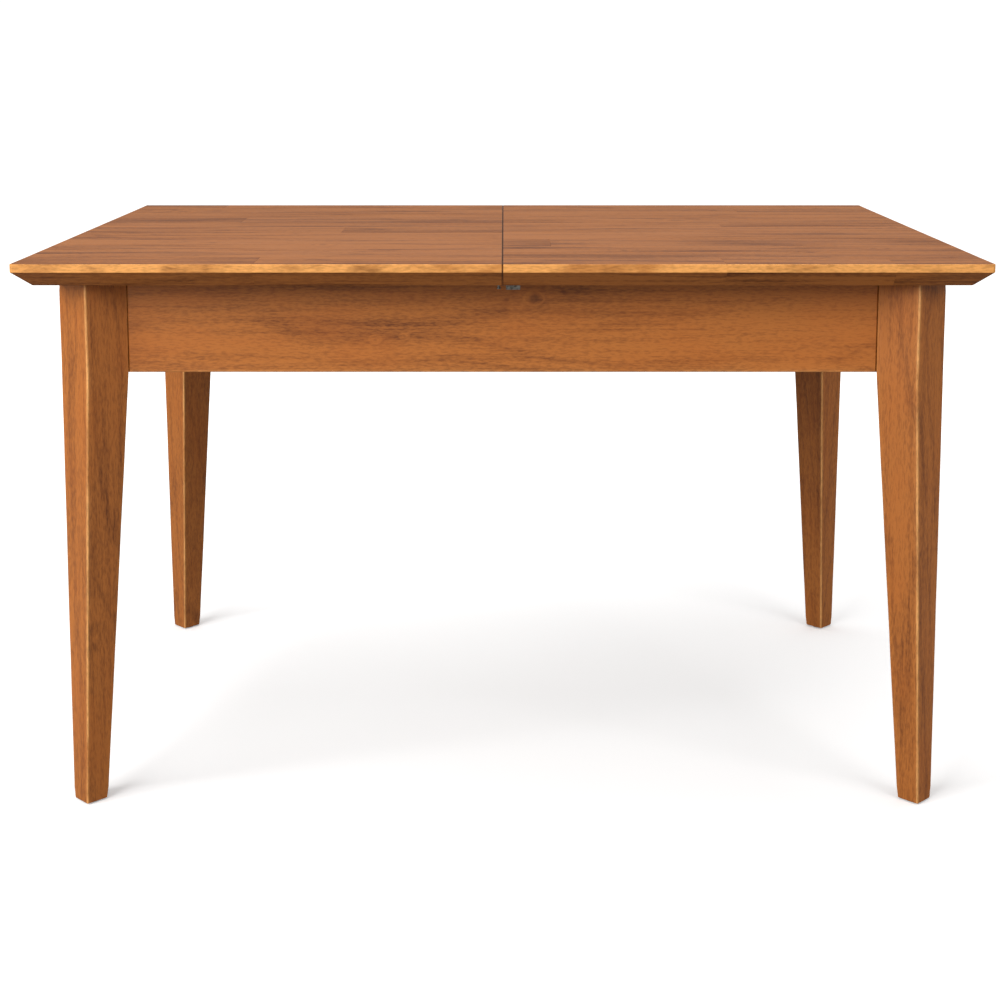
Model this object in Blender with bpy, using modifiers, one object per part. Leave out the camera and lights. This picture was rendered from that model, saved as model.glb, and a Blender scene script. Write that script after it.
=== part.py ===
"""Extendable dining table: two sliding top halves on a fixed four-leg frame, with a leaf stored inside.

Metres, +Z up. The origin is on the floor under the middle of the closed table, +X runs along its length
and the front is at -Y.
"""

import math

import bmesh
import bpy
from mathutils import Matrix, Vector

# Driving dimensions.
LENGTH = 1.300
DEPTH = 0.900
HEIGHT = 0.770
TOP_THICKNESS = 0.031
EDGE_BAND = 0.011
BEVEL_INSET = 0.023
TOP_CORNER = 0.004
SEAM_GAP = 0.0006
TRAVEL = 0.200

LEG_INSET = 0.090
LEG_SIDE = 0.066
FOOT_SIDE = 0.034
FOOT_OUTSET = 0.028
LEG_ARRIS = 0.003
APRON_HEIGHT = 0.130
APRON_THICKNESS = 0.020

FIT = 0.0003
RUN = 0.001

# Heights and planes worked out from the driving dimensions.
TOP_BOTTOM = HEIGHT - TOP_THICKNESS
BAND_BOTTOM = HEIGHT - EDGE_BAND
FRAME_TOP = TOP_BOTTOM - 0.0005
APRON_BOTTOM = TOP_BOTTOM - APRON_HEIGHT
LEG_X = LENGTH / 2 - LEG_INSET + 0.002
LEG_Y = DEPTH / 2 - LEG_INSET - 0.002
LEG_FACE = LEG_SIDE / 2
LEG_CORNER = LEG_SIDE / math.sqrt(2)
INNER_X = LEG_X - APRON_THICKNESS
INNER_Y = LEG_Y - APRON_THICKNESS

GLIDE_THICKNESS = 0.0018
GLIDE_RADIUS = 0.0135
GLIDE_STEM_RADIUS = 0.0025
GLIDE_STEM_LENGTH = 0.014
LEG_BOTTOM = GLIDE_THICKNESS + FIT

BRACE_NEAR = 0.050
BRACE_FAR = 0.074
BRACE_LOW = APRON_BOTTOM + 0.005
BRACE_HIGH = BRACE_LOW + 0.048
BOLT_RADIUS = 0.003
BOLT_HEIGHTS = {"lower": BRACE_LOW + 0.012, "upper": BRACE_HIGH - 0.012}
BOLT_IN_LEG = 0.026
BOLT_TAIL = 0.016

GUIDE_THICKNESS = 0.028
GUIDE_LOW = 0.668
GUIDE_HIGH = 0.712
GUIDE_END = 0.524
GROOVE_LOW = 0.684
GROOVE_HIGH = 0.697
GROOVE_DEPTH = 0.010
GUIDE_FACE = INNER_Y - FIT - GUIDE_THICKNESS

RUNNER_WIDTH = 0.020
RUNNER_LOW = 0.674
RUNNER_START = 0.030
RUNNER_END = 0.320
RUNNER_OUTER = GUIDE_FACE - RUN
RUNNER_INNER = RUNNER_OUTER - RUNNER_WIDTH
TONGUE_REACH = 0.008
TONGUE_END = 0.306
STOP_RADIUS = 0.004
STOP_X = TONGUE_END + TRAVEL + 0.001 + STOP_RADIUS

BATTEN_THICKNESS = 0.018
BATTEN_WIDTH = 0.045
BATTEN_STARTS = {"inner": RUNNER_START, "outer": RUNNER_END - BATTEN_WIDTH}
BATTEN_LOW = TOP_BOTTOM - FIT - BATTEN_THICKNESS

BEARER_X = 0.125
BEARER_WIDTH = 0.045
BEARER_LOW = 0.630
BEARER_HIGH = 0.647

LEAF_LENGTH = 2 * TRAVEL - SEAM_GAP
LEAF_PANEL_DEPTH = DEPTH / 2
LEAF_LOW = BEARER_HIGH + FIT
LEAF_MEET = LEAF_LOW + TOP_THICKNESS
HINGE_XS = {"left": -0.125, "right": 0.125}
HINGE_LENGTH = 0.040
HINGE_PLATE = 0.0022
HINGE_REACH = 0.024
KNUCKLE_RADIUS = 0.0032

DOWEL_RADIUS = 0.005
DOWEL_DEPTH = 0.020
DOWEL_REACH = 0.018
DOWEL_Z = HEIGHT - 0.0165
DOWEL_YS = {"front": -0.300, "middle": 0.0, "back": 0.300}
LEAF_DOWEL_YS = {"near": -0.130, "far": 0.130}

OVERCUT = 0.010
BOARD_ARRIS = 0.0015
WASHER_RADIUS = 0.009
WASHER_THICKNESS = 0.0015
NUT_RADIUS = 0.0058
NUT_THICKNESS = 0.005

CATCH_Y = -0.394
PIVOT_X = 0.017
STUD_X = -0.005
STUD_HEAD_RADIUS = 0.0029
KEEPER_SPAN = (-0.0215, -0.0025)
BASE_SPAN = (0.0047, 0.0285)
LIP_END = 0.0240
PLATE_HALF_WIDTH = 0.010
EYE_RADIUS = 0.0011
STUD_RADIUS = 0.00175
CATCH_PLATE = 0.0015
CATCH_BOTTOM = TOP_BOTTOM - 0.0092
LIP_FRONT = CATCH_Y - 0.0085
EYE_Z = TOP_BOTTOM - 0.0052
LEVER_LOW = TOP_BOTTOM - 0.0052
LEVER_THICKNESS = 0.0018
LEVER_REACH = 0.027
LEVER_RELEASE = math.radians(12)
RIVET_RADIUS = 0.0016
RIVET_HEAD_RADIUS = 0.0028

SIDES = {"left": -1, "right": 1}
ENDS = {"front": -1, "back": 1}
CORNERS = {f"{end}_{side}": (sx, sy) for end, sy in ENDS.items() for side, sx in SIDES.items()}

BROWN = (0.36, 0.155, 0.055)
PALE = (0.50, 0.34, 0.19)
STEEL = (0.42, 0.41, 0.39)
BRASS = (0.62, 0.48, 0.24)
BLACK = (0.02, 0.02, 0.02)


def clear_scene():
    for obj in list(bpy.data.objects):
        bpy.data.objects.remove(obj, do_unlink=True)


def new_collection(name):
    made = bpy.data.collections.new(name)
    bpy.context.scene.collection.children.link(made)
    return made


clear_scene()
PARTS = new_collection("extendable_dining_table")
CUTTERS = new_collection("cutters")


def material(name, colour, roughness, metallic=0.0):
    made = bpy.data.materials.new(name)
    made.use_nodes = True
    shader = made.node_tree.nodes["Principled BSDF"]
    shader.inputs["Base Color"].default_value = (*colour, 1.0)
    shader.inputs["Roughness"].default_value = roughness
    shader.inputs["Metallic"].default_value = metallic
    return made


def add(name, mesh, where=(0, 0, 0), turn=0.0, collection=None, look=None):
    """An object with this mesh, standing at `where` and turned about Z."""
    obj = bpy.data.objects.new(name, mesh)
    obj.location = where
    obj.rotation_euler = (0, 0, turn)
    (collection or PARTS).objects.link(obj)
    if look:
        mesh.materials.append(material(name, *look))
    bpy.context.view_layer.update()
    return obj


def mesh_from(shape, name):
    bmesh.ops.recalc_face_normals(shape, faces=shape.faces)
    mesh = bpy.data.meshes.new(name)
    shape.to_mesh(mesh)
    shape.free()
    return mesh


def box_mesh(name, low, high):
    """A box between two corners, in local coordinates."""
    low, high = Vector(low), Vector(high)
    shape = bmesh.new()
    bmesh.ops.create_cube(shape, size=1.0)
    bmesh.ops.scale(shape, vec=high - low, verts=shape.verts)
    bmesh.ops.translate(shape, vec=(low + high) / 2, verts=shape.verts)
    return mesh_from(shape, name)


def box(name, low, high, look=None, collection=None):
    """A box between two world corners, with its origin at its middle."""
    low, high = Vector(low), Vector(high)
    middle = (low + high) / 2
    return add(name, box_mesh(name, low - middle, high - middle), middle, collection=collection, look=look)


def outline(name, points, low, high, where=(0, 0, 0), turn=0.0, look=None):
    """A flat outline in X and Y, filled and raised from `low` to `high`, as a mesh object."""
    curve = bpy.data.curves.new(name, "CURVE")
    curve.dimensions = "2D"
    curve.fill_mode = "BOTH"
    curve.extrude = (high - low) / 2
    spline = curve.splines.new("POLY")
    spline.points.add(len(points) - 1)
    for point, (x, y) in zip(spline.points, points):
        point.co = (x, y, 0, 1)
    spline.use_cyclic_u = True
    guide = add(name + "_outline", curve)
    evaluated = guide.evaluated_get(bpy.context.evaluated_depsgraph_get())
    mesh = bpy.data.meshes.new_from_object(evaluated)
    bpy.data.objects.remove(guide, do_unlink=True)
    shape = bmesh.new()
    shape.from_mesh(mesh)
    bmesh.ops.remove_doubles(shape, verts=shape.verts, dist=1e-6)
    bmesh.ops.translate(shape, vec=(0, 0, (low + high) / 2), verts=shape.verts)
    return add(name, mesh_from(shape, name), where, turn, look=look)


def rod(name, start, end, radius, sides=16, look=None, collection=None):
    """A cylinder from one world point to another, with its origin at its middle."""
    start, end = Vector(start), Vector(end)
    shape = bmesh.new()
    bmesh.ops.create_cone(
        shape,
        cap_ends=True,
        segments=sides,
        radius1=radius,
        radius2=radius,
        depth=(end - start).length,
    )
    turn = (end - start).to_track_quat("Z", "Y").to_matrix().to_4x4()
    bmesh.ops.transform(shape, matrix=turn, verts=shape.verts)
    obj = add(name, mesh_from(shape, name), (start + end) / 2, collection=collection, look=look)
    smooth(obj)
    return obj


def turned(name, profile, where, look=None, sides=24):
    """A turned shape: the profile's (radius, height) points run down its outer side, top to bottom."""
    mesh = bpy.data.meshes.new(name)
    edges = [(i, i + 1) for i in range(len(profile) - 1)]
    mesh.from_pydata([(r, 0, z) for r, z in profile], edges, [])
    obj = add(name, mesh, where, look=look)
    screw = obj.modifiers.new("turn", "SCREW")
    screw.steps = sides
    screw.render_steps = sides
    screw.use_merge_vertices = True
    screw.merge_threshold = 1e-5
    return obj


def smooth(obj, angle=40):
    obj.data.shade_smooth()
    obj.data.set_sharp_from_angle(angle=math.radians(angle))


def ease(obj, width, segments=2):
    """Rounds every edge sharper than 30 degrees."""
    bevel = obj.modifiers.new("eased_edges", "BEVEL")
    bevel.width = width
    bevel.segments = segments
    bevel.limit_method = "ANGLE"
    bevel.angle_limit = math.radians(30)


def combine(obj, other, operation):
    """A Boolean with a helper, which moves to the cutters and is never rendered."""
    for collection in list(other.users_collection):
        collection.objects.unlink(other)
    CUTTERS.objects.link(other)
    other.hide_render = True
    other.display_type = "WIRE"
    boolean = obj.modifiers.new(other.name, "BOOLEAN")
    boolean.operation = operation
    boolean.solver = "EXACT"
    boolean.object = other


def cut(obj, other):
    combine(obj, other, "DIFFERENCE")


def join(obj, other):
    combine(obj, other, "UNION")


def ride_on(parent, *children):
    """Parents the children where they stand."""
    bpy.context.view_layer.update()
    for child in children:
        child.parent = parent
        child.matrix_parent_inverse = parent.matrix_world.inverted()


def carrier(name, where):
    """An empty on a joint's axis, which carries the pieces that move together."""
    empty = bpy.data.objects.new(name, None)
    empty.location = where
    PARTS.objects.link(empty)
    return empty


def in_corner(corner, along, z):
    """A world point on the diagonal through a leg: `along` runs from the leg's middle to the table's."""
    sx, sy = corner
    inward = Vector((-sx, -sy, 0)).normalized()
    return Vector((sx * LEG_X, sy * LEG_Y, z)) + inward * along


# The fixed frame.


def leg_mesh():
    """A square post that tapers below the apron and leans outwards, along local +X, to its foot."""
    shape = bmesh.new()
    bmesh.ops.create_cube(shape, size=1.0)
    bmesh.ops.scale(shape, vec=(LEG_SIDE, LEG_SIDE, FRAME_TOP - APRON_BOTTOM), verts=shape.verts)
    bmesh.ops.translate(shape, vec=(0, 0, (FRAME_TOP + APRON_BOTTOM) / 2), verts=shape.verts)
    underside = min(shape.faces, key=lambda face: face.calc_center_median().z)
    foot = bmesh.ops.extrude_discrete_faces(shape, faces=[underside])["faces"][0]
    bmesh.ops.scale(shape, vec=(FOOT_SIDE / LEG_SIDE, FOOT_SIDE / LEG_SIDE, 1), verts=foot.verts)
    bmesh.ops.translate(shape, vec=(FOOT_OUTSET, 0, LEG_BOTTOM - APRON_BOTTOM), verts=foot.verts)
    return mesh_from(shape, "leg")


def leg(name, corner):
    sx, sy = corner
    post = add(f"leg_{name}", leg_mesh(), (sx * LEG_X, sy * LEG_Y, 0), math.atan2(sy, sx), look=(BROWN, 0.5))
    ease(post, LEG_ARRIS)
    for height, z in BOLT_HEIGHTS.items():
        start = in_corner(corner, LEG_FACE + OVERCUT, z)
        end = in_corner(corner, LEG_FACE - BOLT_IN_LEG - FIT, z)
        cut(post, rod(f"leg_bolt_hole_{height}_{name}", start, end, BOLT_RADIUS + FIT))
    foot = in_corner(corner, -FOOT_OUTSET, 0)
    stem_end = foot + Vector((0, 0, LEG_BOTTOM + GLIDE_STEM_LENGTH + FIT))
    cut(post, rod(f"leg_glide_hole_{name}", foot, stem_end, GLIDE_STEM_RADIUS + FIT))
    return post


def glide(name, corner):
    """A thin black floor glide with a stem that goes up into the leg."""
    stem_top = LEG_BOTTOM + GLIDE_STEM_LENGTH
    profile = [
        (0, stem_top),
        (GLIDE_STEM_RADIUS * 0.6, stem_top),
        (GLIDE_STEM_RADIUS, stem_top - 0.002),
        (GLIDE_STEM_RADIUS, GLIDE_THICKNESS),
        (GLIDE_RADIUS, GLIDE_THICKNESS),
        (GLIDE_RADIUS, 0.0006),
        (GLIDE_RADIUS - 0.0008, 0),
        (0, 0),
    ]
    return turned(f"floor_glide_{name}", profile, in_corner(corner, -FOOT_OUTSET, 0), look=(BLACK, 0.6))


def hanger_bolt(name, corner, height):
    """A bolt that holds the leg against the aprons, with its washer and nut."""
    z = BOLT_HEIGHTS[height]
    tag = f"{name}_{height}"
    seat = BRACE_FAR + FIT
    shank = rod(
        f"hanger_bolt_{tag}",
        in_corner(corner, LEG_FACE - BOLT_IN_LEG, z),
        in_corner(corner, BRACE_FAR + BOLT_TAIL, z),
        BOLT_RADIUS,
        look=(STEEL, 0.35, 1.0),
    )
    nut_seat = seat + WASHER_THICKNESS
    washer = rod(f"washer_{tag}", in_corner(corner, seat, z), in_corner(corner, nut_seat, z), WASHER_RADIUS)
    nut = rod(
        f"nut_{tag}",
        in_corner(corner, nut_seat - FIT, z),
        in_corner(corner, nut_seat + NUT_THICKNESS, z),
        NUT_RADIUS,
        sides=6,
    )
    join(shank, washer)
    join(shank, nut)
    return shank


def corner_brace(name, corner):
    """A diagonal block across the inside of the corner, which the hanger bolts pull on."""
    reach = APRON_THICKNESS * math.sqrt(2) + FIT * math.sqrt(2)
    near, far = BRACE_NEAR - reach, BRACE_FAR - reach
    points = [(BRACE_NEAR, -near), (BRACE_FAR, -far), (BRACE_FAR, far), (BRACE_NEAR, near)]
    sx, sy = corner
    block = outline(
        f"corner_brace_{name}",
        points,
        BRACE_LOW,
        BRACE_HIGH,
        (sx * LEG_X, sy * LEG_Y, 0),
        math.atan2(-sy, -sx),
        look=(PALE, 0.7),
    )
    for height, z in BOLT_HEIGHTS.items():
        start = in_corner(corner, BRACE_NEAR - OVERCUT, z)
        end = in_corner(corner, BRACE_FAR + OVERCUT, z)
        cut(block, rod(f"brace_hole_{height}_{name}", start, end, BOLT_RADIUS + 2 * FIT))
    return block


def apron(name, half_length, distance, turn):
    """An apron board: its ends are mitred against the legs' inner faces. Local -Y is its outer face."""
    outer = half_length - LEG_CORNER - 0.0007
    inner = outer + APRON_THICKNESS
    points = [(-outer, 0), (outer, 0), (inner, APRON_THICKNESS), (-inner, APRON_THICKNESS)]
    where = Matrix.Rotation(turn, 4, "Z") @ Vector((0, -distance, 0))
    board = outline(f"apron_{name}", points, APRON_BOTTOM, FRAME_TOP, where, turn, look=(BROWN, 0.5))
    ease(board, 0.001, segments=1)
    return board


def guide_rail(name, sy):
    """The fixed rail inside an apron, with a groove along it for the runners' tongues."""
    faces = sorted((sy * GUIDE_FACE, sy * (INNER_Y - FIT)))
    rail = box(
        f"guide_rail_{name}",
        (-GUIDE_END, faces[0], GUIDE_LOW),
        (GUIDE_END, faces[1], GUIDE_HIGH),
        (PALE, 0.65),
    )
    walls = sorted((sy * (GUIDE_FACE - OVERCUT), sy * (GUIDE_FACE + GROOVE_DEPTH)))
    groove = box(
        f"groove_{name}",
        (-GUIDE_END - OVERCUT, walls[0], GROOVE_LOW),
        (GUIDE_END + OVERCUT, walls[1], GROOVE_HIGH),
    )
    cut(rail, groove)
    for side, sx in SIDES.items():
        x, y = sx * STOP_X, sy * (GUIDE_FACE + STOP_RADIUS + RUN)
        low_end = (x, y, GUIDE_LOW - OVERCUT)
        high_end = (x, y, GUIDE_HIGH + OVERCUT)
        cut(rail, rod(f"stop_hole_{name}_{side}", low_end, high_end, STOP_RADIUS + FIT))
    return rail


def slide_stop(name, sx, sy):
    """A dowel across the groove, where the runner's tongue ends its travel."""
    x, y = sx * STOP_X, sy * (GUIDE_FACE + STOP_RADIUS + RUN)
    return rod(f"slide_stop_{name}", (x, y, GUIDE_LOW), (x, y, GUIDE_HIGH), STOP_RADIUS, look=(PALE, 0.6))


def leaf_bearer(name, sx):
    """A cross rail between the aprons, on which the folded leaf lies."""
    edges = sorted((sx * BEARER_X - BEARER_WIDTH / 2, sx * BEARER_X + BEARER_WIDTH / 2))
    rail = box(
        f"leaf_bearer_{name}",
        (edges[0], -INNER_Y + FIT, BEARER_LOW),
        (edges[1], INNER_Y - FIT, BEARER_HIGH),
        (PALE, 0.7),
    )
    ease(rail, BOARD_ARRIS, segments=1)
    return rail


# The folding leaf, stored with its show faces together.


def leaf_panel(name, flipped):
    """One half of the leaf. Its front edge has the same band and bevel as the top."""
    length, depth = LEAF_LENGTH, LEAF_PANEL_DEPTH
    shape = bmesh.new()
    bmesh.ops.create_cube(shape, size=1.0)
    bmesh.ops.scale(shape, vec=(length, depth, TOP_THICKNESS), verts=shape.verts)
    band = TOP_THICKNESS / 2 - EDGE_BAND
    everything = shape.verts[:] + shape.edges[:] + shape.faces[:]
    bmesh.ops.bisect_plane(shape, geom=everything, plane_co=(0, 0, band), plane_no=(0, 0, 1))
    for vert in shape.verts:
        if vert.co.z < band - FIT and vert.co.y < 0:
            vert.co.y += BEVEL_INSET
    if flipped:
        bmesh.ops.scale(shape, vec=(1, 1, -1), verts=shape.verts)
    low = LEAF_MEET + FIT if flipped else LEAF_LOW
    z = low + TOP_THICKNESS / 2
    panel = add(f"leaf_panel_{name}", mesh_from(shape, name), (0, 0, z), look=(BROWN, 0.45))
    ease(panel, 0.001, segments=1)
    for side, x in HINGE_XS.items():
        edge = LEAF_PANEL_DEPTH / 2
        recess = box(
            f"hinge_recess_{name}_{side}",
            (x - HINGE_LENGTH / 2 - FIT, edge - HINGE_PLATE - 2 * FIT, LEAF_MEET - HINGE_REACH - FIT),
            (x + HINGE_LENGTH / 2 + FIT, edge + OVERCUT, LEAF_MEET + HINGE_REACH + 2 * FIT),
        )
        cut(panel, recess)
    for place, y in LEAF_DOWEL_YS.items():
        left, right = -LEAF_LENGTH / 2, LEAF_LENGTH / 2
        dowel_z = dowel_height(flipped)
        socket = rod(
            f"leaf_socket_{name}_{place}",
            (left - OVERCUT, y, dowel_z),
            (left + DOWEL_REACH + 0.002, y, dowel_z),
            DOWEL_RADIUS + FIT,
        )
        seat = rod(
            f"leaf_dowel_hole_{name}_{place}",
            (right + OVERCUT, y, dowel_z),
            (right - DOWEL_DEPTH - FIT, y, dowel_z),
            DOWEL_RADIUS + FIT,
        )
        cut(panel, socket)
        cut(panel, seat)
    return panel


def dowel_height(flipped):
    """The dowels' height in a stored leaf panel: as far below its show face as in the top."""
    below = HEIGHT - DOWEL_Z
    return LEAF_MEET + FIT + below if flipped else LEAF_MEET - below


def leaf_dowel(name, y, flipped):
    right = LEAF_LENGTH / 2
    z = dowel_height(flipped)
    return rod(
        f"leaf_dowel_{name}",
        (right - DOWEL_DEPTH, y, z),
        (right + DOWEL_REACH - 0.003, y, z),
        DOWEL_RADIUS,
        look=(PALE, 0.6),
    )


def leaf_hinge(name, x):
    """A hinge let into the fold edges, with its knuckle at the line where the show faces meet."""
    edge = LEAF_PANEL_DEPTH / 2
    meet = LEAF_MEET + FIT / 2
    low, high = x - HINGE_LENGTH / 2, x + HINGE_LENGTH / 2
    plate = box(
        f"leaf_hinge_{name}",
        (low, edge - HINGE_PLATE, meet - HINGE_REACH),
        (high, edge, meet + HINGE_REACH),
        (BRASS, 0.35, 1.0),
    )
    y = edge + KNUCKLE_RADIUS / 3
    knuckle = rod(f"leaf_knuckle_{name}", (low, y, meet), (high, y, meet), KNUCKLE_RADIUS, sides=16)
    join(plate, knuckle)
    return plate


# The sliding top.


def top_half(name, sx):
    """Half of the top: square at the seam, and banded and under-bevelled on its other three sides."""
    inner, outer = SEAM_GAP / 2, LENGTH / 2
    width = outer - inner
    shape = bmesh.new()
    bmesh.ops.create_cube(shape, size=1.0)
    bmesh.ops.scale(shape, vec=(width, DEPTH, TOP_THICKNESS), verts=shape.verts)
    corners = [
        edge
        for edge in shape.edges
        if edge.verts[0].co.x * sx > 0 and abs(edge.verts[0].co.z - edge.verts[1].co.z) > FIT
    ]
    bmesh.ops.bevel(shape, geom=corners, offset=TOP_CORNER, segments=4, affect="EDGES", profile=0.5)
    band = TOP_THICKNESS / 2 - EDGE_BAND
    everything = shape.verts[:] + shape.edges[:] + shape.faces[:]
    bmesh.ops.bisect_plane(shape, geom=everything, plane_co=(0, 0, band), plane_no=(0, 0, 1))
    seam = Vector((-sx * width / 2, 0, 0))
    narrowed = ((width - BEVEL_INSET) / width, 1 - 2 * BEVEL_INSET / DEPTH, 1)
    underside = [vert for vert in shape.verts if vert.co.z < band - FIT]
    bmesh.ops.scale(shape, vec=narrowed, verts=underside, space=Matrix.Translation(-seam))
    middle = ((inner + outer) / 2 * sx, 0, HEIGHT - TOP_THICKNESS / 2)
    half = add(f"top_half_{name}", mesh_from(shape, name), middle, look=(BROWN, 0.42))
    ease(half, 0.0012)
    for place, y in DOWEL_YS.items():
        hole = rod(
            f"dowel_hole_{name}_{place}",
            (0, y, DOWEL_Z),
            (sx * (inner + DOWEL_DEPTH + FIT), y, DOWEL_Z),
            DOWEL_RADIUS + FIT,
        )
        cut(half, hole)
    return half


def alignment_dowel(name, y):
    """A dowel glued in the left half, which slides into the right one as they close."""
    start = (-SEAM_GAP / 2 - DOWEL_DEPTH, y, DOWEL_Z)
    end = (SEAM_GAP / 2 + DOWEL_REACH, y, DOWEL_Z)
    pin = rod(f"alignment_dowel_{name}", start, end, DOWEL_RADIUS, look=(PALE, 0.55))
    ease(pin, 0.0012, segments=1)
    return pin


def top_runner(name, sx, sy):
    """A runner under the top, with the tongue that slides in the guide rail's groove."""
    xs = sorted((sx * RUNNER_START, sx * RUNNER_END))
    ys = sorted((sy * RUNNER_INNER, sy * RUNNER_OUTER))
    runner = box(
        f"top_runner_{name}",
        (xs[0], ys[0], RUNNER_LOW),
        (xs[1], ys[1], TOP_BOTTOM - FIT),
        (PALE, 0.65),
    )
    tongue_xs = sorted((sx * (RUNNER_START + 0.004), sx * TONGUE_END))
    tongue_ys = sorted((sy * (RUNNER_OUTER - 0.004), sy * (RUNNER_OUTER + TONGUE_REACH)))
    tongue = box(
        f"tongue_{name}",
        (tongue_xs[0], tongue_ys[0], GROOVE_LOW + RUN),
        (tongue_xs[1], tongue_ys[1], GROOVE_HIGH - RUN),
    )
    join(runner, tongue)
    return runner


def top_batten(name, start, sx):
    """A cross batten that keeps the top flat, between its two runners."""
    xs = sorted((sx * start, sx * (start + BATTEN_WIDTH)))
    reach = RUNNER_INNER - FIT
    batten = box(
        f"top_batten_{name}",
        (xs[0], -reach, BATTEN_LOW),
        (xs[1], reach, TOP_BOTTOM - FIT),
        (PALE, 0.7),
    )
    ease(batten, BOARD_ARRIS, segments=1)
    return batten


# The catch under the seam.


def catch_keeper():
    """The plate and headed stud under the left half."""
    high = TOP_BOTTOM - FIT
    plate = box(
        "catch_keeper",
        (KEEPER_SPAN[0], CATCH_Y - PLATE_HALF_WIDTH, high - CATCH_PLATE),
        (KEEPER_SPAN[1], CATCH_Y + PLATE_HALF_WIDTH, high),
        (STEEL, 0.45, 1.0),
    )
    profile = [
        (0, high - CATCH_PLATE / 2),
        (STUD_RADIUS, high - CATCH_PLATE / 2),
        (STUD_RADIUS, CATCH_BOTTOM + 0.0022),
        (STUD_HEAD_RADIUS, CATCH_BOTTOM + 0.0018),
        (STUD_HEAD_RADIUS, CATCH_BOTTOM + 0.0006),
        (0.0022, CATCH_BOTTOM),
        (0, CATCH_BOTTOM),
    ]
    join(plate, turned("catch_stud", profile, (STUD_X, CATCH_Y, 0), sides=20))
    return plate


def catch_base():
    """The plate under the right half, with a front lip that has a hole and a rolled lower edge."""
    high = TOP_BOTTOM - FIT
    start, end = BASE_SPAN
    plate = box(
        "catch_base",
        (start, LIP_FRONT, high - CATCH_PLATE),
        (end, CATCH_Y + PLATE_HALF_WIDTH, high),
        (STEEL, 0.45, 1.0),
    )
    lip_low = CATCH_BOTTOM + RUN
    lip = box("catch_lip", (start, LIP_FRONT, lip_low), (LIP_END, LIP_FRONT + CATCH_PLATE, high - FIT))
    y = LIP_FRONT + CATCH_PLATE / 2
    roll_radius = 0.0012
    roll_z = CATCH_BOTTOM + roll_radius
    roll = rod("catch_roll", (start, y, roll_z), (LIP_END, y, roll_z), roll_radius)
    eye = rod(
        "catch_eye",
        (PIVOT_X, LIP_FRONT - OVERCUT, EYE_Z),
        (PIVOT_X, LIP_FRONT + 2 * CATCH_PLATE, EYE_Z),
        EYE_RADIUS,
        sides=12,
    )
    rivet_hole = rod(
        "catch_rivet_hole",
        (PIVOT_X, CATCH_Y, high - CATCH_PLATE - OVERCUT),
        (PIVOT_X, CATCH_Y, high + OVERCUT),
        RIVET_RADIUS + FIT / 3,
    )
    join(plate, lip)
    join(plate, roll)
    cut(plate, eye)
    cut(plate, rivet_hole)
    return plate


def catch_rivet():
    """The rivet that the hook lever turns on."""
    high = TOP_BOTTOM - FIT
    low = LEVER_LOW - 0.0014
    profile = [
        (0, high),
        (RIVET_RADIUS, high),
        (RIVET_RADIUS, LEVER_LOW - 0.0002),
        (RIVET_HEAD_RADIUS, LEVER_LOW - 0.0002),
        (RIVET_HEAD_RADIUS, low + 0.0005),
        (0.0020, low),
        (0, low),
    ]
    return turned("catch_rivet", profile, (PIVOT_X, CATCH_Y, 0), look=(STEEL, 0.35, 1.0), sides=20)


def catch_lever():
    """The hook, with its mouth to the front. It stands released at rest, turned back past the stud."""
    eye, tip = 0.0046, LEVER_REACH
    arc = [math.radians(a) for a in range(-60, 61, 20)]
    points = [(-eye * math.cos(a), eye * math.sin(a)) for a in arc]
    points += [(0.006, 0.0062), (tip - 0.001, 0.0062), (tip, 0.0052), (tip, -0.0012)]
    points += [(tip - 0.0010, -0.0022), (tip - 0.0018, -0.0022), (tip - 0.0026, -0.0014)]
    points += [(tip - 0.0026, 0.0022), (0.010, 0.0022), (0.0065, -0.0038)]
    # Local +X runs from the rivet to the hook's tip, and the mirrored Y keeps the mouth to the front.
    mirrored = [(x, -y) for x, y in points]
    turn = math.pi - LEVER_RELEASE
    high = LEVER_LOW + LEVER_THICKNESS
    lever = outline(
        "catch_hook_lever",
        mirrored,
        LEVER_LOW,
        high,
        (PIVOT_X, CATCH_Y, 0),
        turn,
        look=(STEEL, 0.4, 1.0),
    )
    hole = rod(
        "lever_rivet_hole",
        (PIVOT_X, CATCH_Y, LEVER_LOW - OVERCUT),
        (PIVOT_X, CATCH_Y, high + 0.001),
        RIVET_RADIUS + FIT / 3,
    )
    cut(lever, hole)
    return lever


def build_frame():
    for name, corner in CORNERS.items():
        leg(name, corner)
        glide(name, corner)
        corner_brace(name, corner)
        for height in BOLT_HEIGHTS:
            hanger_bolt(name, corner, height)
    apron("front", LEG_X, LEG_Y, 0)
    apron("back", LEG_X, LEG_Y, math.pi)
    apron("right", LEG_Y, LEG_X, math.pi / 2)
    apron("left", LEG_Y, LEG_X, -math.pi / 2)
    for end, sy in ENDS.items():
        guide_rail(end, sy)
        for side, sx in SIDES.items():
            slide_stop(f"{end}_{side}", sx, sy)
    for side, sx in SIDES.items():
        leaf_bearer(side, sx)


def build_leaf():
    leaf_panel("lower", flipped=False)
    leaf_panel("upper", flipped=True)
    for side, x in HINGE_XS.items():
        leaf_hinge(side, x)
    for place, y in LEAF_DOWEL_YS.items():
        leaf_dowel(f"lower_{place}", y, flipped=False)
        leaf_dowel(f"upper_{place}", y, flipped=True)


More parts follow.
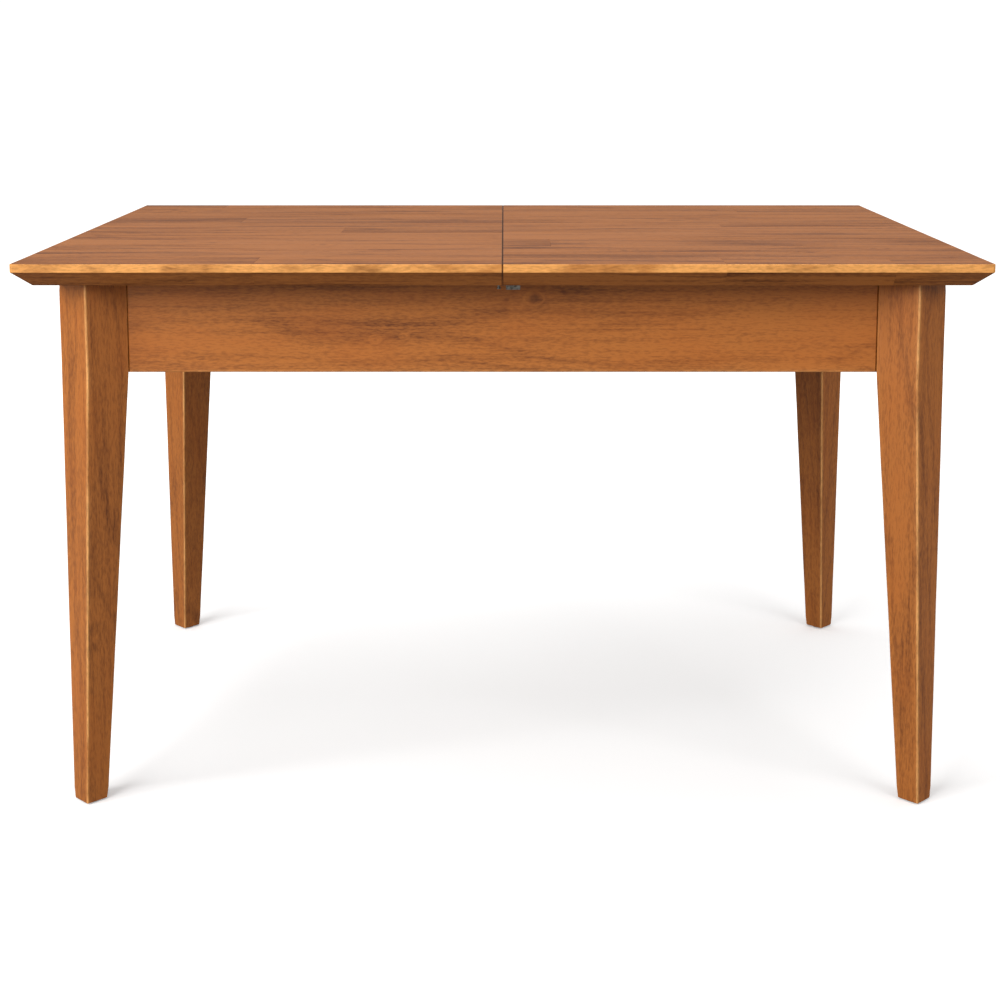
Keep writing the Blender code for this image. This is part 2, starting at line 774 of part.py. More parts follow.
def build_top():
    carriers = {}
    for side, sx in SIDES.items():
        pieces = [top_half(side, sx)]
        pieces += [top_runner(f"{end}_{side}", sx, sy) for end, sy in ENDS.items()]
        pieces += [top_batten(f"{place}_{side}", start, sx) for place, start in BATTEN_STARTS.items()]
        carriers[side] = carrier(f"{side}_half_slide", (0, 0, GROOVE_LOW))
        ride_on(carriers[side], *pieces)
    ride_on(carriers["left"], catch_keeper(), *(alignment_dowel(place, y) for place, y in DOWEL_YS.items()))
    ride_on(carriers["right"], catch_base(), catch_rivet(), catch_lever())


build_frame()
build_leaf()
build_top()
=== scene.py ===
"""Looks of the extendable dining table: knotty, lacquered wood in staves, with steel and brass fittings.

Metres, in the CAD model's frame: +Z up, +X along the table's length and the front at -Y.
"""

import math
import random

import bmesh
import bpy
from mathutils import Matrix, Vector, noise


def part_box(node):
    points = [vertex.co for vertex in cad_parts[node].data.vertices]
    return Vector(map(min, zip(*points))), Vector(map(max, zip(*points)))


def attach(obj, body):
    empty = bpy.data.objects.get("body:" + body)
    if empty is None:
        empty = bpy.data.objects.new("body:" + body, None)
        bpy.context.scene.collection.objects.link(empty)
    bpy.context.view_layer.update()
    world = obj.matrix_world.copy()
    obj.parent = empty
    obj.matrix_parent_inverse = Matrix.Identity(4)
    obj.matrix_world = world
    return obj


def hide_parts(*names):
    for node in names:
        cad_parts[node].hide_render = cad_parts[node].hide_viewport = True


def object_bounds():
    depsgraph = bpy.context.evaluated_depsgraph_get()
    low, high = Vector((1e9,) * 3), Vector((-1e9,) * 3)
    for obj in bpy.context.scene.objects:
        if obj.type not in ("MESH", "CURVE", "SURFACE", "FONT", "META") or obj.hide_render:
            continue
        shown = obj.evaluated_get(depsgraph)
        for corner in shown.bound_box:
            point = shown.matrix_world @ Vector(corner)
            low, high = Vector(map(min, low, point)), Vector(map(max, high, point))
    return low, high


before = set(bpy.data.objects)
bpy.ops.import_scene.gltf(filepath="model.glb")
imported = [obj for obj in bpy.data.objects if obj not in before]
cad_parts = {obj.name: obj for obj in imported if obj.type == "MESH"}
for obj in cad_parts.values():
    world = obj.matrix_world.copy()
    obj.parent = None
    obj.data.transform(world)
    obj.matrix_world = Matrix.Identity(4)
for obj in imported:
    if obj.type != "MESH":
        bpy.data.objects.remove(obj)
CAD_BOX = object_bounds()
TOP_Z = CAD_BOX[1][2]

# The table's shape, as in the CAD model.
LEGS = {
    "front_left": (-1, -1),
    "front_right": (1, -1),
    "back_left": (-1, 1),
    "back_right": (1, 1),
}
LEG_X = 0.562
LEG_Y = 0.358
LEG_SIDE = 0.066
FOOT_SIDE = 0.034
FOOT_OUTSET = 0.028
APRON_DEPTH = 0.020
EDGE_BAND = 0.011
BEVEL_INSET = 0.023
TOP_CORNER = 0.004
DOWEL_RADIUS = 0.0053
DOWEL_Z = 0.7535
DOWEL_DEPTH = 0.021
DOWEL_YS = (-0.300, 0.0, 0.300)

# How the edges are finished.
SEAM_HALF = 0.00004
FINE_EASE = 0.00035
SOFT_EASE = 0.0012
LEG_ARRIS = 0.0017
APRON_ARRIS = 0.0016
BAND_WEAR = 0.85
APRON_WEAR = 0.3
# The wear value that marks a half's seam face, which the seam's painted shade line leaves out.
SEAM_FACE = -1.0

# Each half's staves from the back: how far from the back edge each ends, and its tone from -1, dark, to 1.
STAVES = {
    "left": [
        (0.082, 0.05), (0.165, -0.10), (0.249, 0.25), (0.332, -0.85), (0.410, 0.20), (0.490, -0.30),
        (0.575, 0.30), (0.655, 0.10), (0.738, 0.30), (0.820, 0.05), (0.900, 0.15),
    ],
    "right": [
        (0.070, 0.10), (0.140, -0.40), (0.245, 0.20), (0.330, -0.15), (0.400, 0.05), (0.470, 0.10),
        (0.585, 0.25), (0.680, -0.55), (0.760, 0.15), (0.830, 0.25), (0.900, 0.05),
    ],
}
# Butt joints along a stave: half, stave number from the back, distance from the middle, tone past it.
JOINTS = [
    ("left", 10, 0.330, -0.25), ("right", 10, 0.296, 0.30), ("right", 10, 0.520, -0.45),
    ("left", 3, 0.430, -0.60), ("right", 7, 0.070, -0.25), ("left", 0, 0.500, -0.30),
    ("right", 1, 0.410, -0.70), ("left", 5, 0.250, 0.10), ("right", 4, 0.350, -0.10),
]

# Knots: those on the top as x, y, radius and strength, those on the front apron as x, z, radius and strength,
# and those in the legs as x, y, z, radius and strength.
TOP_KNOTS = [
    (-0.426, -0.188, 0.009, 0.9), (-0.260, -0.213, 0.008, 0.8), (-0.318, -0.060, 0.005, 0.6),
    (-0.560, 0.326, 0.013, 0.6), (-0.225, -0.310, 0.005, 0.5), (-0.590, -0.368, 0.006, 0.6),
    (0.171, -0.284, 0.007, 1.0), (0.345, 0.350, 0.009, 0.5), (0.560, 0.375, 0.015, 0.6),
    (0.212, -0.047, 0.010, 0.6), (0.527, -0.263, 0.006, 0.8), (0.428, -0.313, 0.009, 0.6),
    (0.290, 0.160, 0.016, 0.5), (0.620, 0.040, 0.010, 0.6), (0.385, -0.030, 0.006, 0.4),
]
APRON_KNOTS = [
    (0.043, 0.712, 0.0095, 0.8), (-0.175, 0.654, 0.0025, 0.4),
    (-0.135, 0.659, 0.0022, 0.35), (0.245, 0.655, 0.003, 0.25),
]
LEG_KNOTS = {
    "front_left": [(-0.557, -0.407, 0.245, 0.012, 0.9)],
    "front_right": [(0.575, -0.415, 0.395, 0.010, 0.9)],
    "back_right": [(0.552, 0.326, 0.300, 0.008, 0.9)],
    "back_left": [],
}

# Colours of the wood, light and dark, and where wear has bared it. On the legs' front and back arrises
# the bared colour is partly a painted highlight.
LIGHT = (0.430, 0.138, 0.024)
DARK = (0.125, 0.031, 0.005)
TOP_LIGHT = (0.350, 0.119, 0.025)
TOP_DARK = (0.105, 0.028, 0.005)
PALE = (0.56, 0.36, 0.18)
PALE_DARK = (0.30, 0.16, 0.07)
ARRIS_WEAR_AND_HIGHLIGHT = (0.80, 0.38, 0.12)
BAND = (0.88, 0.40, 0.11)

# Noise stretched along the grain: how often it changes along and across the grain in a metre, its detail,
# roughness and distortion, and the range of it that counts where that isn't all of it.
LAYERS = {
    "field": (1.15, 9.0, 1.6, 0.42, 0.25, None),
    "wander": (6.0, 60.0, 3.0, 0.6, 0.0, None),
    "blotch": (2.4, 8.0, 2.5, 0.5, 0.6, (0.35, 0.72)),
    "cloud": (9.0, 24.0, 2.0, 0.5, 0.0, None),
    "rub": (14.0, 40.0, 3.0, 0.5, 0.0, None),
    "streak": (1.6, 42.0, 3.0, 0.55, 0.4, (0.42, 0.75)),
    "vein": (4.0, 150.0, 2.5, 0.6, 0.0, (0.44, 0.70)),
    "hair": (16.0, 330.0, 2.0, 0.6, 0.0, None),
    "fleck": (100.0, 440.0, 2.0, 0.6, 0.0, (0.36, 0.70)),
    "fibre": (14.0, 700.0, 3.0, 0.65, 0.0, None),
    "pores": (55.0, 1500.0, 1.0, 0.5, 0.0, (0.60, 0.78)),
}
# How much each layer darkens the wood. The finish is how much of that is taken off again, so that most of the
# wood stays light, then its warm patches, its lacquer's coat and its gloss.
FIGURE = {
    "rings": 0.26,
    "blotch": 0.20,
    "streak": 0.22,
    "vein": 0.24,
    "hair": 0.50,
    "fleck": 0.44,
    "fibre": 0.30,
    "cloud": 0.16,
    "tone": -0.26,
}
TOP_FIGURE = FIGURE | {"blotch": 0.40, "streak": 0.58, "vein": 0.52}
FINISH = {"lighten": 0.68, "warmth": 0.22, "coat": 0.05, "gloss": 0.36}
TOP_FINISH = {"lighten": 0.86, "warmth": 0.08, "coat": 0.0, "gloss": 0.20}
# How many growth rings the slow field is cut into, and how much the finer noise bends them.
RING_COUNT = 19.0
RING_WANDER = 0.035
# Distances from a knot count for this much along the grain, so knots are longer that way. Their outlines
# wander by up to this share of a radius.
KNOT_STRETCH = 0.72
KNOT_WOBBLE = 0.7
# How far from the seam, and from an apron's end, the painted shade line for the gap's shadow begins to fade
# and is gone.
SEAM_SHADE_LINE = (0.0008, 0.0014)
JOINT_SHADE_LINE = (0.0014, 0.0024)


# Shader helpers.


class Graph:
    """A material's nodes, built up with short calls."""

    def __init__(self, name):
        self.material = bpy.data.materials.new(name)
        self.material.use_nodes = True
        self.tree = self.material.node_tree
        self.shader = self.tree.nodes["Principled BSDF"]

    def put(self, socket, value):
        if isinstance(value, bpy.types.NodeSocket):
            self.tree.links.new(value, socket)
        elif hasattr(socket.default_value, "__len__") and len(socket.default_value) == 4 and len(value) == 3:
            socket.default_value = (*value, 1.0)
        else:
            socket.default_value = value

    def node(self, kind, out=0, settings=None, **inputs):
        """A new node's output, by number or name. An input is named, or is i and its number."""
        made = self.tree.nodes.new(kind)
        for key, value in (settings or {}).items():
            setattr(made, key, value)
        for key, value in inputs.items():
            place = int(key[1:]) if key[0] == "i" and key[1:].isdigit() else key.replace("_", " ")
            self.put(made.inputs[place], value)
        return made.outputs[out]

    def attribute(self, name):
        return self.node("ShaderNodeAttribute", out="Fac", settings={"attribute_name": name})

    def math(self, operation, first, second=0.0, third=0.0):
        settings = {"operation": operation}
        return self.node("ShaderNodeMath", settings=settings, i0=first, i1=second, i2=third)

    def total(self, parts, start=0.0):
        """A start and the sum of (value, weight) pairs."""
        total = start
        for value, weight in parts:
            total = self.math("MULTIPLY_ADD", value, weight, total)
        return total

    def vector(self, operation, first, second=(0, 0, 0)):
        return self.node("ShaderNodeVectorMath", settings={"operation": operation}, i0=first, i1=second)

    def length(self, vector):
        return self.node("ShaderNodeVectorMath", out="Value", settings={"operation": "LENGTH"}, i0=vector)

    def noise(self, place, scale, detail=2.0, roughness=0.5, distortion=0.0):
        return self.node(
            "ShaderNodeTexNoise",
            Vector=place,
            Scale=scale,
            Detail=detail,
            Roughness=roughness,
            Distortion=distortion,
        )

    def span(self, value, low, high, out_low=0.0, out_high=1.0):
        """The value's place between low and high, eased at both ends."""
        settings = {"interpolation_type": "SMOOTHSTEP"}
        return self.node(
            "ShaderNodeMapRange",
            settings=settings,
            i0=value,
            i1=low,
            i2=high,
            i3=out_low,
            i4=out_high,
        )

    def layer(self, grain, along, across, detail, roughness, distortion, counts):
        """Noise stretched along the grain, from a row of LAYERS."""
        stretched = self.vector("MULTIPLY", grain, (along, across, across))
        found = self.noise(stretched, 1.0, detail, roughness, distortion)
        return self.span(found, *counts) if counts else found

    def mix(self, factor, first, second):
        settings = {"data_type": "RGBA"}
        return self.node("ShaderNodeMix", out=2, settings=settings, i0=factor, i6=first, i7=second)

    def bump(self, height, strength, distance):
        normal = self.node("ShaderNodeBump", Height=height, Strength=strength, Distance=distance)
        self.put(self.shader.inputs["Normal"], normal)

    def set(self, **inputs):
        for key, value in inputs.items():
            self.put(self.shader.inputs[key.replace("_", " ")], value)


def scaled(colour, factor):
    return tuple(min(channel * factor, 1) for channel in colour)


# Materials.

ORDERS = {"X": "XYZ", "Y": "YZX", "Z": "ZXY"}


def grain_space(g, axes, along, shift):
    """Places in the wood, with its grain along X. A stave's own shift moves it elsewhere in the tree."""
    x, y, z = (axes.outputs["XYZ".index(axis)] for axis in ORDERS[along])
    own = g.attribute("shift")
    offset = g.node(
        "ShaderNodeCombineXYZ",
        X=g.math("MULTIPLY_ADD", own, 7.31, shift),
        Y=g.math("MULTIPLY_ADD", own, 3.17, shift * 1.7),
        Z=g.math("MULTIPLY_ADD", own, 5.53, shift * 0.6),
    )
    return g.vector("ADD", g.node("ShaderNodeCombineXYZ", X=x, Y=y, Z=z), offset)


def knot_masks(g, place, knots, along, through):
    """Where knots push the growth rings aside, their dark cores and their pale rims. Spans are in radii."""
    squeeze = [KNOT_STRETCH if axis == along else 1.0 for axis in "XYZ"]
    if through:
        squeeze[2] = 0.0
    wobble = g.noise(place, 95.0, 2.0, 0.6)
    swell = core = rim = 0.0
    for x, y, z, radius, strength in knots:
        gap = g.vector("MULTIPLY", g.vector("SUBTRACT", place, (x, y, z)), squeeze)
        far = g.math("MULTIPLY_ADD", wobble, KNOT_WOBBLE, g.math("DIVIDE", g.length(gap), radius))
        swell = g.total([(g.span(far, 0.8, 4.2, 1.0, 0.0), 0.13 * strength)], swell)
        eye = g.math("MULTIPLY", g.span(far, 0.60, 1.10, 1.0, 0.0), strength)
        core = g.math("MAXIMUM", core, eye)
        edge = g.math("MULTIPLY", g.span(far, 1.15, 1.35), g.span(far, 1.40, 1.65, 1.0, 0.0))
        rim = g.math("MAXIMUM", rim, g.math("MULTIPLY", edge, strength))
    return swell, core, rim


def wood(name, along, light, dark, knots=(), top=False, ends=None, ring=1, satin=0.36, shift=0, wear=None):
    """Knotty wood with its grain along X, Y or Z. The mesh's tone, shift and wear attributes vary it.

    `top` is for the sliding halves: drier, with knots that go through and a painted shade line where they
    meet.
    `ends` is how far from the middle a board's joints are, which have a painted shade line too. `ring` is how
    closely the growth rings lie, `satin` the least roughness and `wear` the colour of the worn arrises, which
    on the legs' front and back arrises is partly a painted highlight.
    """
    g = Graph(name)
    place = g.node("ShaderNodeTexCoord", out="Object")
    axes = g.tree.nodes.new("ShaderNodeSeparateXYZ")
    g.put(axes.inputs[0], place)
    reach = g.math("ABSOLUTE", axes.outputs["XYZ".index(along)])
    worn = g.attribute("wear")
    grain = grain_space(g, axes, along, shift)
    layers = {kind: g.layer(grain, *row) for kind, row in LAYERS.items()}
    swell, core, rim = knot_masks(g, place, knots, along, top) if knots else (0.0, 0.0, 0.0)

    # Growth rings are contour lines of a long, slow field.
    field = g.math("MULTIPLY_ADD", layers["wander"], RING_WANDER, g.math("ADD", layers["field"], swell))
    lines = g.math("PINGPONG", g.math("MULTIPLY", field, RING_COUNT * ring), 1.0)
    late = g.span(lines, 0.48, 0.98)
    late = g.math("MULTIPLY", late, late)

    layers |= {"rings": late, "tone": g.attribute("tone")}
    figure, finish = (TOP_FIGURE, TOP_FINISH) if top else (FIGURE, FINISH)
    shade = g.total([(layers[kind], weight) for kind, weight in figure.items()], -finish["lighten"])
    shade = g.math("MAXIMUM", g.math("MINIMUM", shade, 1.0), 0.0)
    colour = g.mix(shade, light, dark)
    warmth = g.math("MULTIPLY", g.span(layers["cloud"], 0.4, 0.7), finish["warmth"])
    colour = g.mix(warmth, colour, (light[0] * 1.04, light[1] * 0.86, light[2] * 0.68))
    # The darkest brown: the pores' own colour, and also the painted shade at the seam and the board ends.
    pore_and_gap_shade = scaled(dark, 0.34)
    colour = g.mix(g.math("MULTIPLY", layers["pores"], 0.35), colour, pore_and_gap_shade)
    if knots:
        colour = g.mix(g.math("MULTIPLY", rim, 0.45), colour, scaled(light, 1.25))
        colour = g.mix(g.math("MULTIPLY", core, 0.55), colour, scaled(dark, 0.55))
    # Worn arrises bare paler wood; on the legs' front and back arrises this is partly a painted highlight.
    bare = wear or scaled(light, 1.2)
    bare = g.mix(g.math("MULTIPLY", layers["fleck"], 0.6), bare, scaled(bare, 0.55))
    rub = g.math("MULTIPLY", worn, g.span(layers["rub"], 0.30, 0.56, 0.35, 1.0))
    colour = g.mix(rub, colour, bare)
    # Painted shade: a dark line on the top beside the seam, for the shadow in the gap; the seam faces stay
    # clear.
    if top:
        gap_shade = g.span(reach, *SEAM_SHADE_LINE, 0.94, 0.0)
        colour = g.mix(g.math("MULTIPLY", gap_shade, g.span(worn, -0.9, -0.1)), colour, pore_and_gap_shade)
    # Painted shade: a dark line near the board's ends, for the shadow in the gap where it meets the leg.
    if ends:
        gap_shade = g.span(reach, ends - JOINT_SHADE_LINE[1], ends - JOINT_SHADE_LINE[0], 0.0, 0.88)
        colour = g.mix(gap_shade, colour, pore_and_gap_shade)

    g.set(Base_Color=colour, Roughness=g.total([(layers["fibre"], 0.16), (layers["blotch"], 0.06)], satin))
    g.set(Coat_Weight=finish["coat"], Coat_Roughness=0.30, Specular_IOR_Level=finish["gloss"])
    height = [(late, 0.30), (layers["fibre"], 0.45), (layers["pores"], -0.55), (core, -0.4)]
    g.bump(g.total(height), 0.22, 0.0006)
    return g.material


def metal(name, light, dark, rough, patina):
    """Brushed or plated metal with dull patches and fine scratches."""
    g = Graph(name)
    place = g.node("ShaderNodeTexCoord", out="Object")
    patch = g.span(g.noise(place, 260.0, 4.0, 0.65), 0.38, 0.66)
    scratch = g.noise(g.vector("MULTIPLY", place, (300.0, 3200.0, 3200.0)), 1.0, 2.0)
    g.set(
        Base_Color=g.mix(g.math("MULTIPLY", patch, patina), light, dark),
        Metallic=1.0,
        Roughness=g.total([(scratch, 0.16), (patch, 0.22)], rough),
    )
    g.bump(g.math("MULTIPLY_ADD", scratch, 0.5, patch), 0.18, 0.0002)
    return g.material


def nylon(name):
    """Black moulded nylon with a fine texture and pale scuffs."""
    g = Graph(name)
    place = g.node("ShaderNodeTexCoord", out="Object")
    speck = g.noise(place, 1400.0, 3.0, 0.6)
    scuff = g.math("MULTIPLY", g.span(g.noise(place, 320.0, 4.0, 0.7), 0.55, 0.75), 0.35)
    g.set(
        Base_Color=g.mix(scuff, (0.018, 0.018, 0.018), (0.09, 0.085, 0.08)),
        Roughness=g.math("MULTIPLY_ADD", speck, 0.2, 0.5),
    )
    g.bump(speck, 0.2, 0.0003)
    return g.material


# Mesh helpers.

SHARP_FROM = math.radians(35)


def give(name, shape, material, body, flat=False):
    """Finishes a bmesh as a visible piece of a body. `flat` is for one whose wide faces must stay flat."""
    mesh = bpy.data.meshes.new(name)
    shape.to_mesh(mesh)
    shape.free()
    obj = bpy.data.objects.new(name, mesh)
    bpy.context.scene.collection.objects.link(obj)
    mesh.materials.append(material)
    if flat:
        mesh.shade_flat()
    else:
        mesh.shade_smooth()
        mesh.set_sharp_from_angle(angle=SHARP_FROM)
    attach(obj, body)
    return obj


def bridge(shape, rows):
    """Faces between rows of as many vertices each."""
    for lower, upper in zip(rows, rows[1:]):
        for j in range(len(lower)):
            k = (j + 1) % len(lower)
            shape.faces.new((lower[j], lower[k], upper[k], upper[j]))


def loft(rings, wear):
    """A closed tube through rings of points, with flat ends and each point's wear."""
    shape = bmesh.new()
    layer = shape.verts.layers.float.new("wear")
    rows = []
    for ring, ring_wear in zip(rings, wear):
        row = []
        for point, value in zip(ring, ring_wear):
            vert = shape.verts.new(point)
            vert[layer] = value
            row.append(vert)
        rows.append(row)
    bridge(shape, rows)
    shape.faces.new(list(reversed(rows[0])))
    shape.faces.new(rows[-1])
    bmesh.ops.recalc_face_normals(shape, faces=shape.faces)
    return shape


ARC_STEPS = 4
SIDE_STEPS = (0.02, 0.12, 0.5, 0.88, 0.98)
WEAR_BESIDE_ARRIS = 0.15


def rounded_section(half_u, half_v, radius):
    """A rectangle with rounded corners as (u, v, wear) points, in order around it."""
    arcs = []
    for su, sv, start in ((1, 1, 0), (-1, 1, 90), (-1, -1, 180), (1, -1, 270)):
        arc = []
        for step in range(ARC_STEPS + 1):
            angle = math.radians(start + 90 * step / ARC_STEPS)
            u = su * (half_u - radius) + radius * math.cos(angle)
            v = sv * (half_v - radius) + radius * math.sin(angle)
            arc.append((u, v, 1.0))
        arcs.append(arc)
    points = []
    for arc, next_arc in zip(arcs, arcs[1:] + arcs[:1]):
        points += arc
        (u0, v0, _), (u1, v1, _) = arc[-1], next_arc[0]
        for t in SIDE_STEPS:
            wear = WEAR_BESIDE_ARRIS if t in (SIDE_STEPS[0], SIDE_STEPS[-1]) else 0.0
            points.append((u0 + (u1 - u0) * t, v0 + (v1 - v0) * t, wear))
    return points


def worn_radius(base, along, seed):
    """The arris's radius, which hand sanding has left a little uneven."""
    slow = noise.noise(Vector((along * 9, seed, 0)))
    quick = noise.noise(Vector((along * 40, seed, 5)))
    return base * (1 + 0.30 * slow + 0.15 * quick)


# The top, in glued staves.

# Places this close together count as the same, in plan and in height.
NEAR = 1e-4
LEVEL = 1e-5
# Edges sharper than the first are eased, and top edges that are still sharper than the second are rounded.
EDGE_ANGLE = math.radians(28)
CORNER_ANGLE = math.radians(60)
# A face with its middle this close to the outline, the seam or the band's foot belongs to it.
OUTLINE_REACH = 0.002
SEAM_REACH = 0.0002
BAND_REACH = 0.0005
# How far apart in the tree two staves' grain can lie.
SHIFT_SPREAD = 9


def stave(low, high, outer, seam, sides):
    """One stave between two corners, with its share of the top's band and bevel.

    `outer` and `seam` are the half's sign where an end of the stave is on the outline or at the seam, and 0
    elsewhere. `sides` holds +1 or -1 for each long edge that is on the outline.
    """
    shape = bmesh.new()
    bmesh.ops.create_cube(shape, size=1.0)
    size = Vector(high) - Vector(low)
    middle = (Vector(high) + Vector(low)) / 2
    bmesh.ops.scale(shape, vec=size, verts=shape.verts)
    bmesh.ops.translate(shape, vec=middle, verts=shape.verts)
    posts = []
    for edge in shape.edges:
        a, b = (vert.co for vert in edge.verts)
        at_end = outer and abs(a.z - b.z) > NEAR and (a.x - middle.x) * outer > 0
        if at_end and any((a.y - middle.y) * side > 0 for side in sides):
            posts.append(edge)
    if posts:
        bmesh.ops.bevel(shape, geom=posts, offset=TOP_CORNER, segments=4, affect="EDGES", profile=0.5)

    band = high[2] - EDGE_BAND
    everything = shape.verts[:] + shape.edges[:] + shape.faces[:]
    bmesh.ops.bisect_plane(shape, geom=everything, plane_co=(0, 0, band), plane_no=(0, 0, 1))
    for vert in shape.verts:
        if vert.co.z > band - LEVEL:
            continue
        if outer:
            share = abs(vert.co.x - (low[0] if outer > 0 else high[0])) / size.x
            vert.co.x -= outer * BEVEL_INSET * share
        for side in sides:
            share = abs(vert.co.y - (low[1] if side > 0 else high[1])) / size.y
            vert.co.y -= side * BEVEL_INSET * share

    # The top arrises on the outline and at the seam are rounded, and every other edge is only eased.
    outline = [(1, high[1] if side > 0 else low[1]) for side in sides]
    if outer:
        outline.append((0, high[0] if outer > 0 else low[0]))
    if seam:
        outline.append((0, low[0] if seam > 0 else high[0]))
    fine = []
    for edge in shape.edges:
        if len(edge.link_faces) < 2 or edge.calc_face_angle() < EDGE_ANGLE:
            continue
        ends = [vert.co for vert in edge.verts]
        on_outline = any(all(abs(end[axis] - place) < NEAR for end in ends) for axis, place in outline)
        if not (on_outline and all(end.z > high[2] - LEVEL for end in ends)):
            fine.append(edge)
    bmesh.ops.bevel(shape, geom=fine, offset=FINE_EASE, segments=1, affect="EDGES", profile=0.5)
    soft = [
        edge
        for edge in shape.edges
        if len(edge.link_faces) == 2
        and edge.calc_face_angle() > CORNER_ANGLE
        and all(vert.co.z > high[2] - LEVEL for vert in edge.verts)
    ]
    if soft:
        bmesh.ops.bevel(shape, geom=soft, offset=SOFT_EASE, segments=3, affect="EDGES", profile=0.5)
    bmesh.ops.recalc_face_normals(shape, faces=shape.faces)
    return shape


def drill(shape, x, y):
    """The shape with a dowel hole cut in its seam face."""
    cutter = bmesh.new()
    bmesh.ops.create_cone(
        cutter,
        cap_ends=True,
        segments=32,
        radius1=DOWEL_RADIUS,
        radius2=DOWEL_RADIUS,
        depth=2 * DOWEL_DEPTH,
    )
    turn = Matrix.Translation((x, y, DOWEL_Z)) @ Matrix.Rotation(math.pi / 2, 4, "Y")
    bmesh.ops.transform(cutter, matrix=turn, verts=cutter.verts)
    objects = []
    for name, part in (("blank", shape), ("drill", cutter)):
        obj = bpy.data.objects.new(name, bpy.data.meshes.new(name))
        bpy.context.scene.collection.objects.link(obj)
        part.to_mesh(obj.data)
        part.free()
        objects.append(obj)
    blank, tool = objects
    boolean = blank.modifiers.new("hole", "BOOLEAN")
    boolean.object = tool
    boolean.operation = "DIFFERENCE"
    bpy.context.view_layer.update()
    drilled = bmesh.new()
    drilled.from_object(blank, bpy.context.evaluated_depsgraph_get())
    for obj in objects:
        bpy.data.objects.remove(obj, do_unlink=True)
    return drilled


def runs_of(side, number, tone, near, far):
    """A stave's lengths between its butt joints, each as its two distances from the middle and its tone."""
    cuts = sorted((distance, past) for half, n, distance, past in JOINTS if (half, n) == (side, number))
    runs = []
    for distance, past in cuts + [(far, tone)]:
        runs.append((near, distance, tone))
        near, tone = distance, past
    return runs


def add_piece(joined, piece, tone, shift, low, high):
    """Copies a stave into the panel's mesh, with its tone, its grain's place and its edge band's wear."""
    layers = joined.faces.layers.float
    piece.verts.index_update()
    verts = []
    for vert in piece.verts:
        y = min(max(vert.co.y, low[1]), high[1])
        verts.append(joined.verts.new((vert.co.x, y, vert.co.z)))
    for face in piece.faces:
        middle = face.calc_center_median()
        at_long_edge = middle.y > high[1] - OUTLINE_REACH or middle.y < low[1] + OUTLINE_REACH
        in_band = middle.z > high[2] - EDGE_BAND - BAND_REACH
        made = joined.faces.new([verts[vert.index] for vert in face.verts])
        made[layers["tone"]] = tone
        made[layers["shift"]] = shift
        if abs(middle.x) < SEAM_REACH:
            made[layers["wear"]] = SEAM_FACE
        elif in_band and (at_long_edge or abs(middle.x) > CAD_BOX[1][0] - OUTLINE_REACH):
            made[layers["wear"]] = BAND_WEAR
    piece.free()


def top_panel(side, sx, material, rng):
    """A half of the top, as the staves that it is glued from."""
    low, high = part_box(f"top_half_{side}")
    seam = sx * SEAM_HALF
    end = abs(high[0] if sx > 0 else low[0])
    joined = bmesh.new()
    for attribute in ("tone", "shift", "wear"):
        joined.faces.layers.float.new(attribute)
    last_number = len(STAVES[side]) - 1
    edge = 0.0
    for number, (far_edge, tone) in enumerate(STAVES[side]):
        y_high, y_low = high[1] - edge, high[1] - far_edge
        sides = [s for s, outermost in ((1, 0), (-1, last_number)) if number == outermost]
        for near, far, run_tone in runs_of(side, number, tone, SEAM_HALF, end):
            x_low, x_high = sorted((sx * near, sx * far))
            outer = sx if far == end else 0
            at_seam = sx if near == SEAM_HALF else 0
            piece = stave((x_low, y_low, low[2]), (x_high, y_high, high[2]), outer, at_seam, sides)
            for y in DOWEL_YS:
                if y_low < y < y_high and at_seam:
                    piece = drill(piece, seam, y)
            add_piece(joined, piece, run_tone, rng.random() * SHIFT_SPREAD, low, high)
        edge = far_edge
    panel = give(f"top_panel_{side}", joined, material, f"{side}_half", flat=True)
    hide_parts(f"top_half_{side}")


# The frame's legs and aprons.

LEG_STEPS = 46
APRON_STEPS = 60
END_TRIM = 0.0008
DENT = 0.00012


def leg_piece(name, corner, material, seed):
    """The tapered leg in sections from the foot up, its front and back arrises worn and partly a painted
    highlight.
    """
    low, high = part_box(f"leg_{name}")
    sx, sy = corner
    apron_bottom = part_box("apron_front")[0][2]
    out = Vector((sx, sy, 0)).normalized()
    across = Vector((-out.y, out.x, 0))
    axis = Vector((sx * LEG_X, sy * LEG_Y, 0))
    rings, wear = [], []
    for step in range(LEG_STEPS + 1):
        z = low[2] + (high[2] - low[2]) * step / LEG_STEPS
        down = max(0.0, (apron_bottom - z) / (apron_bottom - low[2]))
        half = (LEG_SIDE + (FOOT_SIDE - LEG_SIDE) * down) / 2
        if step in (0, LEG_STEPS):
            half -= END_TRIM
        centre = axis + out * FOOT_OUTSET * down
        ring, ring_wear = [], []
        for n, (u, v, amount) in enumerate(rounded_section(half, half, worn_radius(LEG_ARRIS, z, seed))):
            dent = DENT * (noise.noise(Vector((z * 16, n * 0.35, seed))) - 0.6)
            point = centre + out * (u + math.copysign(dent, u)) + across * (v + math.copysign(dent, v))
            ring.append((point.x, point.y, z))
            # Partly painted highlight: front and back arrises get far more of the pale arris colour than the
            # sides.
            front_or_back_highlight = abs(point.y - centre.y) > abs(point.x - centre.x)
            patchy = 1 + 0.4 * noise.noise(Vector((z * 22, seed, n * 0.2)))
            ring_wear.append(amount * (0.85 if front_or_back_highlight else 0.25) * patchy)
        rings.append(ring)
        wear.append(ring_wear)
    piece = give(f"leg_post_{name}", loft(rings, wear), material, "frame")
    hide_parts(f"leg_{name}")


